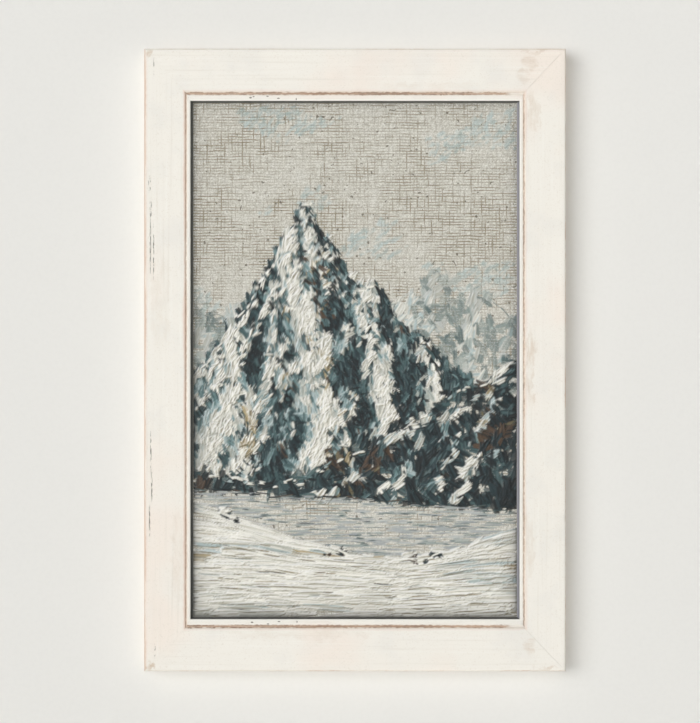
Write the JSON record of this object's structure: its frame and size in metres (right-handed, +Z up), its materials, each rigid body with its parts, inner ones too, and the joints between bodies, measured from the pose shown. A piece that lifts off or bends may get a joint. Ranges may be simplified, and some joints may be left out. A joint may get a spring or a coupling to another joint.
{
  "type": "framed picture",
  "caption": "Wall-hung framed picture: mitred whitewashed wooden moulding with a sight lip around a thickly painted winter landscape panel.",
  "frame": {"origin": "middle of the sawtooth hanger's back face, on the wall plane and on the picture's centre line", "axes": "+X to the picture's right as seen from the front, +Y into the wall, +Z up; the picture faces -Y"},
  "size_m": [0.3418, 0.025, 0.5048],
  "materials": {
    "whitewashed_wood": "whitewash over bare wood, satin, rubbed through to pinkish brown in the groove and along the edges",
    "painted_ground": "primed panel painted grey-beige, with a canvas grain and fine crackle, matt",
    "far_range_paint": "dry brushed oil paint, blue-grey",
    "peak_paint": "thick knife-laid oil paint, dark teal under off-white",
    "near_ridge_paint": "thick knife-laid oil paint, near-black teal with off-white",
    "lake_paint": "level strokes of oil paint, lavender-grey",
    "drift_paint": "thick ridged oil paint, warm white",
    "brown_hardboard": "pressed hardboard, smooth side out",
    "zinc_plated_steel": "thin zinc-plated steel",
    "brown_felt": "dense self-adhesive felt"
  },
  "bodies": {
    "root": {"rail_left": "whitewashed_wood", "rail_right": "whitewashed_wood", "rail_top": "whitewashed_wood", "rail_bottom": "whitewashed_wood", "picture_panel": "painted_ground", "paint_far_range_1": "far_range_paint", "paint_far_range_2": "far_range_paint", "paint_peak": "peak_paint", "paint_near_ridge": "near_ridge_paint", "paint_lake": "lake_paint", "paint_drift": "drift_paint", "backing_board": "brown_hardboard", "point_left_1": "zinc_plated_steel", "point_left_2": "zinc_plated_steel", "point_left_3": "zinc_plated_steel", "point_right_1": "zinc_plated_steel", "point_right_2": "zinc_plated_steel", "point_right_3": "zinc_plated_steel", "point_bottom_1": "zinc_plated_steel", "point_bottom_2": "zinc_plated_steel", "point_top_1": "zinc_plated_steel", "point_top_2": "zinc_plated_steel", "sawtooth_hanger": "zinc_plated_steel", "hanger_nail_left": "zinc_plated_steel", "hanger_nail_right": "zinc_plated_steel", "bumper_left": "brown_felt", "bumper_right": "brown_felt"}
  },
  "joints": []
}
